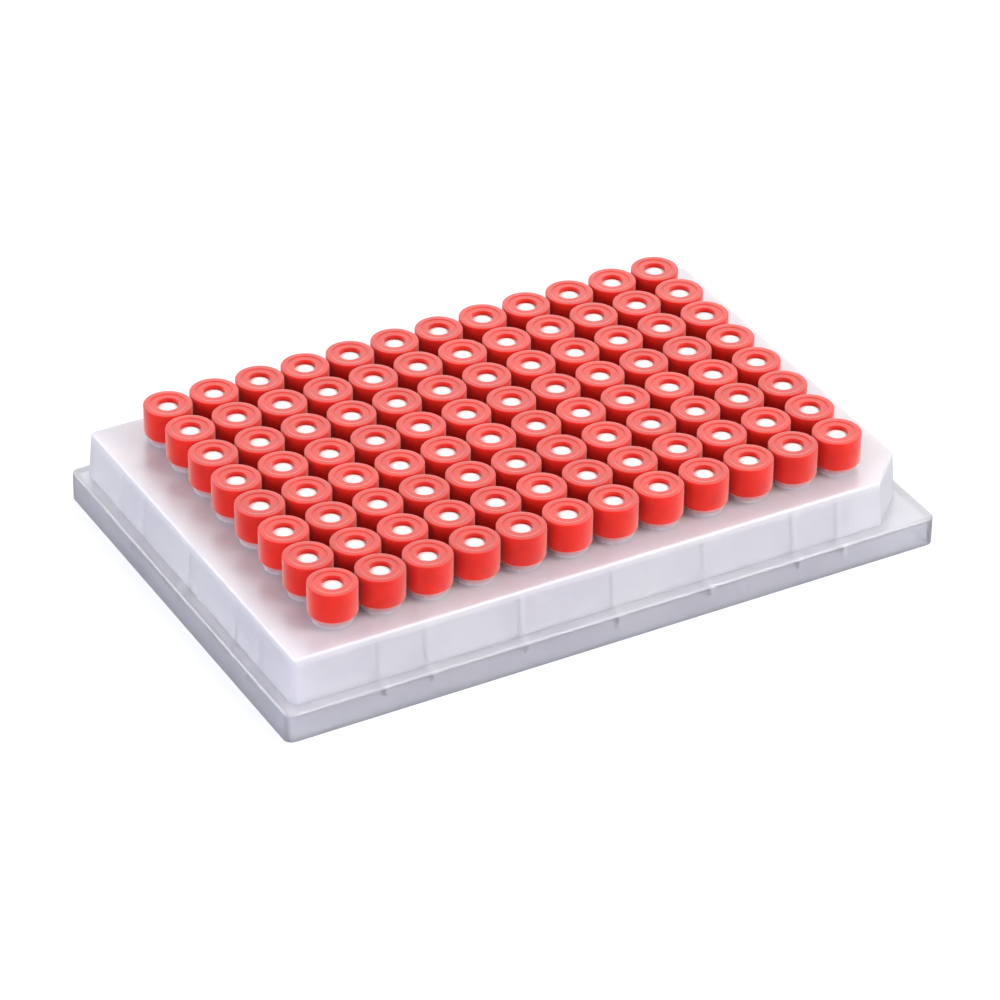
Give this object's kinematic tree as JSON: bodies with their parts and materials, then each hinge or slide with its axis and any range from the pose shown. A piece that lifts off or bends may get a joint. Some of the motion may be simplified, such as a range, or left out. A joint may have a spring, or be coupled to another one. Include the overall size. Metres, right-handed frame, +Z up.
{
  "type": "deep well plate",
  "caption": "Low moulded well plate in milky natural plastic, every well closed by a red push-on cap with an open centre over a white septum.",
  "frame": {"origin": "middle of the footprint, on the surface that the plate stands on", "axes": "+X along the plate's length and its 12 columns, +Y along its width and its 8 rows, +Z up out of the caps"},
  "size_m": [0.1278, 0.0854, 0.0213],
  "materials": {
    "plate_natural_polypropylene": "satin",
    "cap_red_plastic": "satin",
    "septum_white_silicone": "matte"
  },
  "bodies": {
    "root": {"plate": "plate_natural_polypropylene", "caps_column_01": "cap_red_plastic", "caps_column_02": "cap_red_plastic", "caps_column_03": "cap_red_plastic", "caps_column_04": "cap_red_plastic", "caps_column_05": "cap_red_plastic", "caps_column_06": "cap_red_plastic", "caps_column_07": "cap_red_plastic", "caps_column_08": "cap_red_plastic", "caps_column_09": "cap_red_plastic", "caps_column_10": "cap_red_plastic", "caps_column_11": "cap_red_plastic", "caps_column_12": "cap_red_plastic", "septa_column_01": "septum_white_silicone", "septa_column_02": "septum_white_silicone", "septa_column_03": "septum_white_silicone", "septa_column_04": "septum_white_silicone", "septa_column_05": "septum_white_silicone", "septa_column_06": "septum_white_silicone", "septa_column_07": "septum_white_silicone", "septa_column_08": "septum_white_silicone", "septa_column_09": "septum_white_silicone", "septa_column_10": "septum_white_silicone", "septa_column_11": "septum_white_silicone", "septa_column_12": "septum_white_silicone"}
  },
  "joints": []
}
